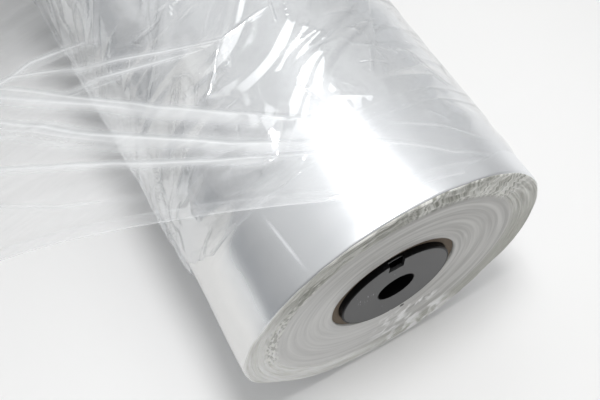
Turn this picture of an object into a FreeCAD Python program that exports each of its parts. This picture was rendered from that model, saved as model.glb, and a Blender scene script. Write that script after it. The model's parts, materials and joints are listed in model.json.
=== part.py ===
import FreeCAD, Part
import math
import os

import Sketcher
from FreeCAD import Placement, Rotation, Vector

# A roll of clear lay-flat poly tubing lying on its side. The roll's axis runs along +Y, +Z is up
# and the loose end comes off the top of the roll towards -X. The origin is on the floor, under
# the middle of the roll, at the centre of its flat spot. Lengths are millimetres.

# Driving dimensions: (alias, value, what it sizes).
DIMENSIONS = [
    ("roll_length", 457.0, "width of the tubing, which is the length of the roll"),
    ("wound_radius", 101.0, "radius of the tightly wound body"),
    ("flat_width", 32.0, "width of the flat spot the soft roll rests on"),
    ("dish_depth", 3.7, "how far the innermost turns lie inside the outermost ones"),
    ("loose_band", 17.5, "radial width of the slack turns outside the tight winding"),
    ("ring_pitch", 5.7, "radial distance between two light rings on the tight winding"),
    ("ring_relief", 0.8, "depth of the rings on the tight winding"),
    ("slack_pitch", 5.8, "radial distance between two rings of the slack turns"),
    ("slack_relief", 2.2, "depth of the rings of the slack turns"),
    ("winding_gap", 0.1, "clearance between the innermost turn and the core"),
    ("turn_step", 0.8, "how far the last turn stands off the winding where it starts"),
    ("turn_bury", 2.0, "how far its inside lies within the winding it is wound onto"),
    ("turn_lift", 2.6, "how far the last turn stands off where it leaves the roll"),
    ("turn_margin", 3.0, "distance from the last turn's far edge to the roll's far end"),
    ("crumple_height", 3.4, "height of the creases in the last turn"),
    ("web_thickness", 1.5, "thickness of the loose end: two walls of film and the air in them"),
    ("tail_reach", 400.0, "distance from the roll's axis to where the loose end meets the floor"),
    ("foot_length", 55.0, "length of the loose end that lies on the floor"),
    ("tail_sweep", 140.0, "how far the loose end's near edge draws back from the roll's near end"),
    ("tail_trail", 22.0, "how far its far edge draws in from the roll's far end"),
    ("pleat_height", 15.0, "height of the gathers in the loose end, valley to ridge"),
    ("core_bore_radius", 38.1, "inside radius of the board core"),
    ("core_wall", 5.1, "wall of the board core"),
    ("core_setback", 5.3, "how far each end of the core lies inside the roll's end"),
    ("plug_gap", 0.3, "radial clearance of a plug in the core"),
    ("plug_setback", 1.4, "how far the face of a plug lies inside the roll's end"),
    ("plug_skirt", 32.0, "length of a plug's skirt"),
    ("plug_skirt_wall", 1.8, "wall of a plug's skirt"),
    ("plug_face", 2.0, "thickness of a plug's face"),
    ("plug_edge", 0.5, "chamfer round a plug's face"),
    ("hub_bore_radius", 12.7, "radius of the bore for the unwind shaft"),
    ("hub_wall", 2.4, "wall of the tube round that bore"),
    ("hub_length", 24.0, "length of that tube"),
    ("rib_count", 6.0, "webs between the hub and the skirt"),
    ("rib_thickness", 1.7, "thickness of a web"),
    ("rib_depth", 16.0, "depth of a web, from the plug's face"),
    ("notch_width", 10.2, "width of the drive notch in a plug's rim"),
    ("notch_offset", 3.1, "how far the notch's middle lies to one side of the plug's axis"),
    ("notch_depth", 9.6, "depth of the notch, inwards from the rim"),
    ("notch_drop", 2.6, "how deep the notch goes, from the plug's face"),
    ("nick_radius", 1.1, "radius of the gate nick in the rim, opposite the notch"),
]

# The loose end's line in side view: (share of the way out to the floor, share of the height
# at which it leaves the roll). The foot then lies flat.
TAIL_LINE = [(0.20, 0.945), (0.45, 0.815), (0.66, 0.57), (0.83, 0.23)]

# The last turn's near edge: (angle round the roll in degrees, counted from +X over the top,
# one full turn and more, distance from the roll's near end as a share of the wound radius).
TURN_FRONT = [
    (112, 0.48), (132, 0.54), (147, 0.45), (159, 0.54), (177, 0.73), (205, 0.62),
    (250, 0.40), (300, 0.22), (402, 0.10), (420, 0.05), (447, 0.09), (460, 0.16),
]

# How each line of gathers stands, in the order they lie across the web: shares of the roll's
# length at which they run, closer together where the film is drawn towards the near edge.
PLEAT_LINES = [
    0.0, 0.03, 0.075, 0.11, 0.16, 0.205, 0.245, 0.30, 0.335, 0.39, 0.435, 0.485,
    0.53, 0.585, 0.63, 0.69, 0.735, 0.79, 0.84, 0.895, 0.945, 1.0,
]

TURN_START = 112.0  # degrees round the roll where the last turn begins, under the loose end
TURN_END = 460.0  # degrees where it leaves the roll as the loose end
TURN_CALM = 40.0  # degrees before that over which its creases die away
TURN_STEPS = 44
TAIL_STEPS = 14


def fill_sheet(doc):
    """Write the driving dimensions into the document's spreadsheet."""
    sheet = doc.addObject("Spreadsheet::Sheet", "Sizes")
    for row, (alias, value, meaning) in enumerate(DIMENSIONS, start=1):
        sheet.set(f"A{row}", meaning)
        sheet.set(f"B{row}", str(value))
        sheet.setAlias(f"B{row}", alias)
    doc.recompute()
    return sheet


class Sizes:
    """The sheet's values, with the few places that follow from them."""

    def __init__(self, sheet):
        for alias, _, _ in DIMENSIONS:
            setattr(self, alias, float(getattr(sheet, alias)))
        self.axis_height = math.sqrt(self.wound_radius**2 - (self.flat_width / 2) ** 2)
        self.core_radius = self.core_bore_radius + self.core_wall
        self.near_end = -self.roll_length / 2
        self.far_end = self.roll_length / 2
        self.leave_x = self.on_roll(TURN_END, self.turn_lift)[0]
        self.leave_z = self.on_roll(TURN_END, self.turn_lift)[1]

    def on_roll(self, angle, stand_off):
        """(x, z) of a point round the roll, stand_off outside the wound body."""
        turn = math.radians(angle)
        radius = self.wound_radius + stand_off
        return radius * math.cos(turn), self.axis_height + radius * math.sin(turn)


AXIS_HEIGHT = "sqrt(Sizes.wound_radius^2 - (Sizes.flat_width / 2)^2)"


def blend(pairs, at):
    """The value at a place between listed (place, value) pairs, eased from one to the next."""
    if at <= pairs[0][0]:
        return pairs[0][1]
    for (start, low), (end, high) in zip(pairs, pairs[1:]):
        if at <= end:
            share = (at - start) / (end - start)
            return low + (high - low) * share * share * (3 - 2 * share)
    return pairs[-1][1]


def scatter(row, column):
    """A fixed, uneven number from 0 to 1 for a place in a grid."""
    wave = math.sin(12.9898 * row + 78.233 * column) * 43758.5453
    return wave - math.floor(wave)


# --- the film ------------------------------------------------------------------------------


def ring_chain(size):
    """(radius, depth inside the roll's end) of the turns' edges, from the core outwards."""
    inner = size.core_radius + size.winding_gap
    slack = size.wound_radius - size.loose_band
    span = size.wound_radius - inner

    def dish(radius):
        return size.dish_depth * (size.wound_radius - radius) / span

    tight_rings = max(1, round((slack - inner) / size.ring_pitch))
    slack_rings = max(1, round(size.loose_band / size.slack_pitch))
    chain = [(inner, dish(inner))]
    for start, end, rings, relief, crest in (
        (inner, slack, tight_rings, size.ring_relief, 0.6),
        (slack, size.wound_radius, slack_rings, size.slack_relief, 0.45),
    ):
        pitch = (end - start) / rings
        for ring in range(rings):
            low = start + ring * pitch
            top = low + crest * pitch
            chain.append((top, dish(top)))
            chain.append((low + pitch, dish(low + pitch) + relief))
    return chain


def make_wound_body(doc, size):
    """The winding: all its turns as one body, with the turns' edges as rings on both ends."""
    near = [Vector(radius, size.near_end + depth, 0) for radius, depth in ring_chain(size)]
    far = [Vector(point.x, -point.y, 0) for point in reversed(near)]
    outline = near + far + near[:1]
    section = doc.addObject("Part::Feature", "WindingSection")
    section.Shape = Part.Face(Part.makePolygon(outline))
    body = doc.addObject("Part::Revolution", "WoundBody")
    body.Source = section
    body.Axis = Vector(0, 1, 0)
    body.Angle = 360
    body.Solid = True
    body.setExpression("Placement.Base.z", AXIS_HEIGHT)
    return body


def tail_curve(size):
    """The loose end's top line in side view, from the roll to the end of its foot."""
    out = size.tail_reach + size.leave_x
    points = [Vector(size.leave_x, 0, size.leave_z)]
    for share, height in TAIL_LINE:
        points.append(Vector(size.leave_x - share * out, 0, height * size.leave_z))
    points.append(Vector(-size.tail_reach, 0, size.web_thickness))
    curve = Part.BSplineCurve()
    lean = math.radians(TURN_END)
    curve.interpolate(
        points,
        InitialTangent=Vector(-math.sin(lean), 0, math.cos(lean)) * out,
        FinalTangent=Vector(-1, 0, 0) * out,
    )
    return curve


def tail_stations(size):
    """(x, z, outward x, outward z, share of the way) down the loose end and along its foot."""
    curve = tail_curve(size)
    stations = []
    for step in range(1, TAIL_STEPS + 1):
        share = step / TAIL_STEPS
        at = curve.FirstParameter + share * (curve.LastParameter - curve.FirstParameter)
        point = curve.value(at)
        along = curve.tangent(at)[0]
        stations.append((point.x, point.z, along.z, -along.x, share))
    for part in (0.5, 1.0):
        x = -size.tail_reach - part * size.foot_length
        stations.append((x, size.web_thickness, 0.0, 1.0, 1.0))
    return stations


def crease(size, row, column):
    """Height of the crumpled film over the roll at one corner of its creases."""
    ridge = 0.5 + 0.5 * math.cos(math.pi * column)
    return size.crumple_height * (0.45 * ridge * scatter(column, 3) + 0.55 * scatter(row, column))


def gather(size, row_share, column, on_floor):
    """How far a gather's ridge or valley lies above the loose end's middle line."""
    side = 0.5 if column % 2 else -0.5
    uneven = 0.55 + 0.45 * scatter(column, 11)
    grown = blend([(0.0, 0.12), (0.5, 0.75), (0.85, 1.0), (1.0, 0.35)], row_share)
    lift = size.pleat_height * side * uneven * grown
    return max(lift, 0.0) if on_floor else lift


def turn_rows(size):
    """The last turn and the loose end as rows of (outer, inner) corners across the web."""
    front_edge = size.near_end
    back_edge = size.far_end - size.turn_margin
    rows = []
    for step in range(TURN_STEPS + 1):
        angle = TURN_START + (TURN_END - TURN_START) * step / TURN_STEPS
        share = step / TURN_STEPS
        front = front_edge + blend(TURN_FRONT, angle) * size.wound_radius
        stand = size.turn_step + (size.turn_lift - size.turn_step) * share
        calm = blend([(TURN_START, 1.0), (TURN_END - TURN_CALM, 1.0), (TURN_END, 0.0)], angle)
        leaving = step >= TURN_STEPS - 1
        row = []
        for column, across in enumerate(PLEAT_LINES):
            lift = stand + calm * crease(size, step, column)
            lift += (1 - calm) * (0.5 * size.crumple_height * (column % 2))
            under = lift - size.web_thickness if leaving else -size.turn_bury
            y = front + across * (back_edge - front)
            outer_x, outer_z = size.on_roll(angle, lift)
            inner_x, inner_z = size.on_roll(angle, under)
            row.append((Vector(outer_x, y, outer_z), Vector(inner_x, y, inner_z)))
        rows.append(row)
    start_front = TURN_FRONT[-1][1] * size.wound_radius
    for x, z, out_x, out_z, share in tail_stations(size):
        reach = (x - size.leave_x) / (-size.tail_reach - size.leave_x)
        drawn = math.sin(math.pi / 2 * min(reach, 1.0))
        front = front_edge + start_front + (size.tail_sweep - start_front) * drawn
        back = back_edge - size.tail_trail * min(reach, 1.0)
        row = []
        for column, across in enumerate(PLEAT_LINES):
            lift = gather(size, share, column, on_floor=share >= 1.0)
            y = front + across * (back - front)
            outer = Vector(x + out_x * lift, y, z + out_z * lift)
            under = lift - size.web_thickness
            inner = Vector(x + out_x * under, y, max(z + out_z * under, 0.0))
            row.append((outer, inner))
        rows.append(row)
    return rows


def closed_solid(rows):
    """One closed solid between the outer and inner corners of a grid of rows."""
    last_row = len(rows) - 1
    last = len(rows[0]) - 1
    width = last + 1
    points = [pair[0] for row in rows for pair in row] + [pair[1] for row in rows for pair in row]
    inner_start = width * len(rows)

    def outer(row, column):
        return row * width + column

    def inner(row, column):
        return inner_start + row * width + column

    faces = []

    def quad(a, b, c, d):
        faces.append((a, b, c))
        faces.append((a, c, d))

    for row in range(last_row):
        for column in range(last):
            following = column + 1
            quad(outer(row, column), outer(row, following),
                 outer(row + 1, following), outer(row + 1, column))
            quad(inner(row, column), inner(row + 1, column),
                 inner(row + 1, following), inner(row, following))
        quad(outer(row, 0), outer(row + 1, 0), inner(row + 1, 0), inner(row, 0))
        quad(outer(row, last), inner(row, last), inner(row + 1, last), outer(row + 1, last))
    for column in range(last):
        following = column + 1
        quad(outer(0, column), inner(0, column), inner(0, following), outer(0, following))
        quad(outer(last_row, column), outer(last_row, following),
             inner(last_row, following), inner(last_row, column))
    facets = Part.Shape()
    facets.makeShapeFromMesh((points, faces), 0.0)
    solid = Part.Solid(Part.Shell(facets.Faces))
    if solid.Volume < 0:
        solid.reverse()
    return solid


def make_film_roll(doc, size):
    """The film: the winding, its crumpled last turn and the gathered loose end, in one piece."""
    winding = make_wound_body(doc, size)
    turn = doc.addObject("Part::Feature", "LastTurn")
    turn.Shape = closed_solid(turn_rows(size))
    joined = doc.addObject("Part::MultiFuse", "Film")
    joined.Shapes = [winding, turn]
    floor = doc.addObject("Part::Box", "Floor")
    floor.setExpression("Length", "4 * Sizes.wound_radius + 2 * Sizes.tail_reach")
    floor.setExpression("Width", "2 * Sizes.roll_length")
    floor.setExpression("Height", "Sizes.wound_radius")
    floor.setExpression("Placement.Base.x", "-2 * Sizes.wound_radius - Sizes.tail_reach")
    floor.setExpression("Placement.Base.y", "-Sizes.roll_length")
    floor.setExpression("Placement.Base.z", "-Sizes.wound_radius")
    film = doc.addObject("Part::Cut", "FilmRoll")
    film.Base = joined
    film.Tool = floor
    film.Label = "film_roll"
    return film


# --- the core and its plugs ----------------------------------------------------------------


def origin_plane(body, role):
    """One of a body's own origin planes."""
    return next(item for item in body.Origin.OriginFeatures if item.Role == role)


def new_sketch(body, role, name):
    """An empty sketch on one of a body's own origin planes."""
    sketch = body.newObject("Sketcher::SketchObject", name)
    sketch.AttachmentSupport = [(origin_plane(body, role), "")]
    sketch.MapMode = "FlatFace"
    return sketch


def total(size, *names):
    """A rule that adds up cells of the sheet, and its value: a name after a minus is taken off."""
    rule = "0"
    value = 0.0
    for name in names:
        sign, cell = ("-", name[1:]) if name.startswith("-") else ("+", name)
        rule += f" {sign} Sizes.{cell}"
        value += getattr(size, cell) * (-1 if sign == "-" else 1)
    return rule, value


def bind(sketch, kind, *place, rule):
    """A dimension of a sketch that follows a rule on the sheet."""
    index = sketch.addConstraint(Sketcher.Constraint(kind, *place, rule[1]))
    sketch.setExpression(f"Constraints[{index}]", rule[0])


def add_circle(sketch, radius):
    """A circle about the sketch's origin whose radius follows a rule."""
    circle = sketch.addGeometry(Part.Circle(Vector(0, 0, 0), Vector(0, 0, 1), radius[1]), False)
    sketch.addConstraint(Sketcher.Constraint("Coincident", circle, 3, -1, 1))
    bind(sketch, "Radius", circle, rule=radius)


def add_outline(sketch, corners):
    """A closed outline of straight lines whose corners' x and y each follow a rule."""
    places = [Vector(x[1], y[1], 0) for x, y in corners]
    lines = [
        sketch.addGeometry(Part.LineSegment(start, end), False)
        for start, end in zip(places, places[1:] + places[:1])
    ]
    for line, following in zip(lines, lines[1:] + lines[:1]):
        sketch.addConstraint(Sketcher.Constraint("Coincident", line, 2, following, 1))
    for line, (x, y) in zip(lines, corners):
        bind(sketch, "DistanceX", -1, 1, line, 1, rule=x)
        if y is LEVEL:
            sketch.addConstraint(Sketcher.Constraint("PointOnObject", line, 1, -1))
        else:
            bind(sketch, "DistanceY", -1, 1, line, 1, rule=y)


LEVEL = ("0", 0.0)  # a corner that lies on the sketch's horizontal axis


def make_core(doc, size):
    """The board tube that the tubing is wound on."""
    body = doc.addObject("PartDesign::Body", "Core")
    body.Label = "core"
    section = new_sketch(body, "XZ_Plane", "CoreSection")
    add_circle(section, total(size, "core_bore_radius"))
    add_circle(section, total(size, "core_bore_radius", "core_wall"))
    tube = body.newObject("PartDesign::Pad", "CoreTube")
    tube.Profile = section
    tube.SideType = "Symmetric"
    tube.setExpression("Length", "Sizes.roll_length - 2 * Sizes.core_setback")
    body.setExpression("Placement.Base.z", AXIS_HEIGHT)
    return body


def make_plug(doc, size, label, turn, end):
    """One moulded core plug, its face turned outwards: a face, a skirt that grips the core, a
    tube for the shaft, webs between them and a drive notch in the rim. end is -1 or 1."""
    body = doc.addObject("PartDesign::Body", label)
    body.Label = label
    rim = total(size, "core_bore_radius", "-plug_gap")
    inner_rim = total(size, "core_bore_radius", "-plug_gap", "-plug_skirt_wall")
    hub = total(size, "hub_bore_radius", "hub_wall")

    section = new_sketch(body, "XZ_Plane", f"{label}_section")
    add_outline(section, [
        (total(size, "hub_bore_radius"), LEVEL),
        (total(size, "core_bore_radius", "-plug_gap", "-plug_edge"), LEVEL),
        (rim, total(size, "-plug_edge")),
        (rim, total(size, "-plug_skirt")),
        (inner_rim, total(size, "-plug_skirt")),
        (inner_rim, total(size, "-plug_face")),
        (hub, total(size, "-plug_face")),
        (hub, total(size, "-hub_length")),
        (total(size, "hub_bore_radius"), total(size, "-hub_length")),
    ])
    cup = body.newObject("PartDesign::Revolution", f"{label}_cup")
    cup.Profile = section
    cup.ReferenceAxis = (section, ["V_Axis"])
    cup.Angle = 360

    web = new_sketch(body, "XY_Plane", f"{label}_web")
    half_web = ("Sizes.rib_thickness / 2", size.rib_thickness / 2)
    other_half = ("-Sizes.rib_thickness / 2", -size.rib_thickness / 2)
    web_start = ("Sizes.hub_bore_radius + Sizes.hub_wall / 2", size.hub_bore_radius + size.hub_wall / 2)
    web_end = (f"{rim[0]} - Sizes.plug_skirt_wall / 2", rim[1] - size.plug_skirt_wall / 2)
    add_outline(web, [
        (web_start, other_half), (web_end, other_half), (web_end, half_web), (web_start, half_web),
    ])
    rib = body.newObject("PartDesign::Pad", f"{label}_rib")
    rib.Profile = web
    rib.Reversed = True
    rib.setExpression("Length", "Sizes.rib_depth")
    ribs = body.newObject("PartDesign::PolarPattern", f"{label}_ribs")
    ribs.Originals = [rib]
    ribs.Axis = (web, ["N_Axis"])
    ribs.Angle = 360
    ribs.setExpression("Occurrences", "Sizes.rib_count")
    body.Tip = ribs

    cuts = new_sketch(body, "XY_Plane", f"{label}_cuts")
    left = ("-Sizes.notch_offset - Sizes.notch_width / 2", -size.notch_offset - size.notch_width / 2)
    right = ("Sizes.notch_width / 2 - Sizes.notch_offset", size.notch_width / 2 - size.notch_offset)
    bottom = total(size, "core_bore_radius", "-plug_gap", "-notch_depth")
    beyond = total(size, "core_bore_radius", "core_wall")
    add_outline(cuts, [(left, bottom), (right, bottom), (right, beyond), (left, beyond)])
    nick = cuts.addGeometry(
        Part.Circle(Vector(0, -rim[1], 0), Vector(0, 0, 1), size.nick_radius), False)
    cuts.addConstraint(Sketcher.Constraint("PointOnObject", nick, 3, -2))
    bind(cuts, "DistanceY", -1, 1, nick, 3,
         rule=total(size, "-core_bore_radius", "plug_gap"))
    bind(cuts, "Radius", nick, rule=total(size, "nick_radius"))
    notch = body.newObject("PartDesign::Pocket", f"{label}_notch")
    notch.Profile = cuts
    notch.setExpression("Length", "Sizes.notch_drop")
    body.Tip = notch

    body.Placement = Placement(Vector(0, 0, 0), turn)
    sign = "-" if end < 0 else ""
    body.setExpression("Placement.Base.y", f"{sign}(Sizes.roll_length / 2 - Sizes.plug_setback)")
    body.setExpression("Placement.Base.z", AXIS_HEIGHT)
    return body


# --- the whole part ------------------------------------------------------------------------


def check(doc, nodes):
    """Stop with a plain message where an object failed or a piece isn't one sound solid."""
    for item in doc.Objects:
        if "Invalid" in item.State or "Error" in item.State:
            raise RuntimeError(f"{item.Label} failed: {item.State}")
    for node in nodes:
        shape = node.Shape
        if shape.isNull() or not shape.isValid() or len(shape.Solids) != 1:
            raise RuntimeError(f"{node.Label} isn't one valid solid")
        print(f"{node.Label}: {len(shape.Faces)} faces, {shape.Volume / 1000:.1f} cm3")
    for node in nodes:
        if node.Label.startswith("core_plug"):
            cup = doc.getObject(f"{node.Label}_ribs").Shape
            if node.Shape.Volume >= cup.Volume:
                raise RuntimeError(f"the notch of {node.Label} cuts nothing")


def main():
    doc = FreeCAD.newDocument("PolyTubingRoll")
    size = Sizes(fill_sheet(doc))
    nodes = [
        make_film_roll(doc, size),
        make_core(doc, size),
        make_plug(doc, size, "core_plug_near", Rotation(Vector(1, 0, 0), 90), -1),
        make_plug(doc, size, "core_plug_far",
                  Rotation(Vector(1, 0, 0), -90) * Rotation(Vector(0, 0, 1), 140), 1),
    ]
    doc.recompute()
    check(doc, nodes)
    os.makedirs("parts", exist_ok=True)
    for node in nodes:
        node.Shape.exportStep(f"parts/{node.Label}.step")


main()
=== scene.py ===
"""A roll of clear lay-flat poly tubing lying on its side, dressed for rendering.

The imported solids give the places. The film is rebuilt here as two pieces: the wound body, and one
sheet that is both the slack last turn, crumpled round the body, and the loose end that is drawn
off over the top. The board core and the two moulded plugs keep their solids and get their finishes.
"""

import json
import logging
import math
from dataclasses import dataclass
from enum import Enum

import bmesh
import bpy
import numpy as np
from mathutils import Matrix, Quaternion, Vector


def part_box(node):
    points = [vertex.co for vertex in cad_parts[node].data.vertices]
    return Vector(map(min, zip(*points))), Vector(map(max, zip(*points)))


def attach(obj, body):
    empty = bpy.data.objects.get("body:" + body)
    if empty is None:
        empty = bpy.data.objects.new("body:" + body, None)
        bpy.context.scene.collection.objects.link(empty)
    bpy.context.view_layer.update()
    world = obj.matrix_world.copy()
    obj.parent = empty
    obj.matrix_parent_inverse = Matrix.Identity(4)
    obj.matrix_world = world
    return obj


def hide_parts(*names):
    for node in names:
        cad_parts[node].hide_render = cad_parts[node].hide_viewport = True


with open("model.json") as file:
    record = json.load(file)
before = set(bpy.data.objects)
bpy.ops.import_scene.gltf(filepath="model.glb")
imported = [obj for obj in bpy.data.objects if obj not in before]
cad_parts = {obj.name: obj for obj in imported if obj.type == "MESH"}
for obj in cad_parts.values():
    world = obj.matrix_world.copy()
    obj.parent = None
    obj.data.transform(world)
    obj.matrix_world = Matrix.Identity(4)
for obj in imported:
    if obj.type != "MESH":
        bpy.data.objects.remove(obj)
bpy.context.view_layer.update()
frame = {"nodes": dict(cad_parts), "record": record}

logging.basicConfig(level=logging.INFO, format="%(name)s: %(message)s")
LOG = logging.getLogger("poly_tubing_roll")

MM = 0.001
POLYETHYLENE_IOR = 1.51

Array = np.ndarray
Pair = tuple[float, float]
Pairs = tuple[Pair, ...]
Triple = tuple[float, float, float]
Line = tuple[Pairs, float, float, float]
Band = tuple[Pairs, float, float]
Object = bpy.types.Object
Material = bpy.types.Material
Socket = bpy.types.NodeSocket
Tree = bpy.types.NodeTree


# --- small tools: shader nodes ---------------------------------------------------------------


def linear_colour(hex_value: str) -> tuple[float, float, float, float]:
    """Turn an sRGB hex colour, such as "c8ccd0", into the linear colour that a socket takes."""
    channels = []
    for start in (0, 2, 4):
        value = int(hex_value[start:start + 2], 16) / 255
        channels.append(value / 12.92 if value <= 0.04045 else ((value + 0.055) / 1.055) ** 2.4)
    return (*channels, 1.0)


def add_node(tree: Tree, kind: str, values: dict | None = None) -> bpy.types.Node:
    """Add one shader node, with its settings and the links to its inputs.

    Args:
        tree: the material's node tree.
        kind: the node's type, such as "ShaderNodeTexNoise".
        values: by property name, or by the name or number of an input: a fixed value, or the
            socket or shader value that feeds it.

    Returns:
        The new node.
    """
    node = tree.nodes.new(kind)
    for name, value in (values or {}).items():
        value = value.socket if isinstance(value, Value) else value
        if isinstance(value, Socket):
            tree.links.new(value, node.inputs[name])
        elif not isinstance(name, int) and hasattr(node, name):
            setattr(node, name, value)
        else:
            node.inputs[name].default_value = value
    return node


@dataclass(frozen=True)
class Value:
    """A shader value to reckon with: each sum over it adds a node to its tree."""

    tree: Tree
    socket: Socket

    def node(self, kind: str, output: str | int, values: dict) -> "Value":
        """Add any node to the tree and give one of its outputs."""
        return Value(self.tree, add_node(self.tree, kind, values).outputs[output])

    def maths(self, operation: str, *others: object, clamp: bool = False) -> "Value":
        """Reckon with this value and others, in the Math node's order."""
        values = {"operation": operation, "use_clamp": clamp, **dict(enumerate((self, *others)))}
        return self.node("ShaderNodeMath", "Value", values)

    def vectors(self, operation: str, *others: object, output: str = "Vector") -> "Value":
        """Reckon with this vector and others, in the Vector Math node's order."""
        values = {"operation": operation, **dict(enumerate((self, *others)))}
        return self.node("ShaderNodeVectorMath", output, values)

    def __add__(self, other: object) -> "Value":
        """Add another value or a number."""
        return self.maths("ADD", other)

    def __mul__(self, other: object) -> "Value":
        """Multiply by another value or a number."""
        return self.maths("MULTIPLY", other)

    def __truediv__(self, other: object) -> "Value":
        """Divide by another value or a number."""
        return self.maths("DIVIDE", other)

    def __abs__(self) -> "Value":
        """Drop the sign."""
        return self.maths("ABSOLUTE")

    __radd__, __rmul__ = __add__, __mul__

    def rest(self, clamp: bool = False) -> "Value":
        """Give what is left of 1."""
        return self.maths("MULTIPLY_ADD", -1.0, 1.0, clamp=clamp)

    def ramp(self, low: float, high: float, top: float = 1.0, bottom: float = 0.0,
             shape: str = "LINEAR") -> "Value":
        """Go from bottom where this value is low to top where it is high."""
        return self.node("ShaderNodeMapRange", "Result", {
            "interpolation_type": shape, "Value": self, "From Min": low, "From Max": high,
            "To Min": bottom, "To Max": top})

    def ease(self, low: float, high: float, top: float = 1.0) -> "Value":
        """Ease from 0 where this value is low to top where it is high."""
        return self.ramp(low, high, top, shape="SMOOTHSTEP")

    def mix(self, low: object, high: object) -> "Value":
        """Mix two colours, each a hex colour or a shader value, by this value."""
        ends = {place: linear_colour(end) if isinstance(end, str) else end
                for place, end in ((6, low), (7, high))}
        return self.node("ShaderNodeMix", 2, {"data_type": "RGBA", "Factor": self, **ends})

    def split(self) -> tuple["Value", ...]:
        """Give a vector's x, y and z."""
        outputs = add_node(self.tree, "ShaderNodeSeparateXYZ", {"Vector": self}).outputs
        return tuple(Value(self.tree, socket) for socket in outputs)

    def stretched(self, scale: Triple, turn: Triple = (0, 0, 0), move: Triple = (0, 0, 0)) -> "Value":
        """Scale, turn and then move a place."""
        return self.node("ShaderNodeMapping", "Vector",
                         {"Vector": self, "Scale": scale, "Rotation": turn, "Location": move})

    def from_axis(self, height: float) -> tuple["Value", "Value"]:
        """Give the vector from the roll's axis, at that height, to a place, and its length."""
        centred = self.stretched((1, 0, 1), move=(0, 0, -height))
        return centred, centred.vectors("LENGTH", output="Value")

    def noise(self, detail: float, scale: float = 1.0, bent: float = 0.0, roughness: float = 0.5,
              kind: str = "FBM") -> "Value":
        """Give noise over a place, from 0 to 1.

        Args:
            detail: how many finer octaves it has.
            scale: hills in one unit.
            bent: how far it is distorted by itself.
            roughness: how strong each finer octave is.
            kind: the Noise node's type.

        Returns:
            The noise.
        """
        return self.node("ShaderNodeTexNoise", "Fac", {
            "noise_type": kind, "Vector": self, "Scale": scale, "Detail": detail,
            "Roughness": roughness, "Distortion": bent})

    def bump(self, strength: float, distance: float) -> "Value":
        """Turn a height into a normal."""
        return self.node("ShaderNodeBump", "Normal",
                         {"Height": self, "Strength": strength, "Distance": distance})


def read(tree: Tree, kind: str, output: str, **settings: object) -> Value:
    """Add a node that takes nothing in, such as a texture coordinate, and give one of its outputs."""
    return Value(tree, add_node(tree, kind, settings).outputs[output])


def empty_material(name: str) -> tuple[Material, Tree]:
    """Make a material with no nodes, and give it with its tree."""
    material = bpy.data.materials.new(name)
    material.use_nodes = True
    material.node_tree.nodes.clear()
    return material, material.node_tree


def finish_material(tree: Tree, values: dict) -> None:
    """Add the material's one shader, by its inputs' names, and its output."""
    shader = add_node(tree, "ShaderNodeBsdfPrincipled", values)
    add_node(tree, "ShaderNodeOutputMaterial", {"Surface": shader.outputs["BSDF"]})


# --- small tools: numbers and meshes ---------------------------------------------------------


def value_noise(across: Array, along: Array, seed: int) -> Array:
    """Smooth, repeatable noise over a plane.

    Args:
        across: first coordinate, one unit for each hill or hollow.
        along: second coordinate.
        seed: picks one of many patterns.

    Returns:
        Values from -1 to 1.
    """
    cell_u, cell_v = np.floor(across).astype(np.int64), np.floor(along).astype(np.int64)
    part_u, part_v = across - cell_u, along - cell_v
    ease_u = part_u ** 3 * (part_u * (part_u * 6 - 15) + 10)
    ease_v = part_v ** 3 * (part_v * (part_v * 6 - 15) + 10)

    def corner(step_u: int, step_v: int) -> Array:
        """The fixed random value at one corner of each cell."""
        mixed = (cell_u + step_u) * 374761393 + (cell_v + step_v) * 668265263 + seed * 974634777
        mixed = (mixed ^ (mixed >> 13)) * 1274126177 & 0xFFFFFFFF
        mixed = mixed ^ (mixed >> 16)
        return (mixed & 0xFFFFFF) / 0x7FFFFF - 1.0

    low = corner(0, 0) + (corner(1, 0) - corner(0, 0)) * ease_u
    high = corner(0, 1) + (corner(1, 1) - corner(0, 1)) * ease_u
    return low + (high - low) * ease_v


def smooth_step(low: float, high: float, value: Array) -> Array:
    """Ease from 0 at low to 1 at high."""
    share = np.clip((value - low) / (high - low), 0.0, 1.0)
    return share * share * (3 - 2 * share)


def eased(pairs: Pairs, at: Array) -> Array:
    """Read a value between listed (place, value) pairs, eased from one to the next."""
    places, values = np.array(pairs, dtype=float).T
    index = np.clip(np.searchsorted(places, at) - 1, 0, len(pairs) - 2)
    share = smooth_step(0.0, 1.0, (at - places[index]) / (places[index + 1] - places[index]))
    return values[index] + (values[index + 1] - values[index]) * share


def zigzag(phase: Array) -> Array:
    """A wave of straight slopes from -1 to sharp crests of 1 at whole numbers, as in creased film."""
    return 1.0 - 4.0 * np.abs(phase - np.floor(phase + 0.5))


def deselect_all() -> None:
    """Leave edit mode and deselect every object."""
    if bpy.context.object and bpy.context.object.mode != "OBJECT":
        bpy.ops.object.mode_set(mode="OBJECT")
    bpy.ops.object.select_all(action="DESELECT")


def make_active(piece: Object) -> None:
    """Select one object alone and make it the active one."""
    deselect_all()
    piece.select_set(True)
    bpy.context.view_layer.objects.active = piece


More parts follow.
